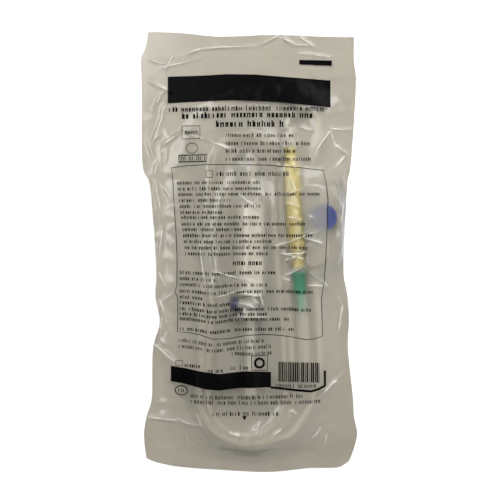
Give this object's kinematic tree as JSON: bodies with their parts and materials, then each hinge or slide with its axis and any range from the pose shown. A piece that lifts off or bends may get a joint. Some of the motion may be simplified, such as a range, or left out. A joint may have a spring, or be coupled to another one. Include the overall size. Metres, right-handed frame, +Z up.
{
  "type": "packed infusion set",
  "caption": "Gravity infusion set with drip chamber, coiled tubing, roller clamp, latex bulb and needle, lying in a sealed translucent film pouch.",
  "frame": {"origin": "under the middle of the pouch, on the surface that it lies on", "axes": "+Z up out of the printed front, +Y along the pouch towards its top seal, +X across it towards the roller clamp"},
  "size_m": [0.1261, 0.2564, 0.0202],
  "materials": {
    "film": "hazy translucent polyethylene film with black print",
    "clear_plastic": "clear moulded plastic",
    "soft_vinyl": "clear soft vinyl tubing",
    "white_plastic": "white moulded plastic",
    "milky_plastic": "natural milky polyethylene",
    "filter_fabric": "fine filter fabric",
    "blue_plastic": "blue moulded plastic",
    "violet_plastic": "violet blue moulded plastic",
    "green_plastic": "green moulded plastic",
    "latex": "amber latex",
    "steel": "bright drawn steel"
  },
  "bodies": {
    "root": {"pouch_back_film": "film", "pouch_front_film": "film", "drip_chamber": "clear_plastic", "chamber_outlet": "clear_plastic", "drip_tube": "clear_plastic", "spike_cap": "clear_plastic", "bulb_inlet_connector": "clear_plastic", "luer_connector": "clear_plastic", "needle_sheath": "clear_plastic", "tubing_coil": "soft_vinyl", "tubing_lead": "soft_vinyl", "tubing_tail": "soft_vinyl", "tubing_clamp_run": "soft_vinyl", "tubing_loop": "soft_vinyl", "spike": "white_plastic", "clamp_body": "milky_plastic", "filter_mesh": "filter_fabric", "vent_filter": "filter_fabric", "vent_cap": "violet_plastic", "needle_hub": "green_plastic", "latex_bulb": "latex", "needle_cannula": "steel"},
    "wheel": {"clamp_roller": "blue_plastic"}
  },
  "joints": [
    {"name": "roller_slide", "type": "slide", "parent": "root", "child": "wheel", "axis": [-0.067, 0.9977, 0], "range_m": [-0.015, 0.008]}
  ]
}
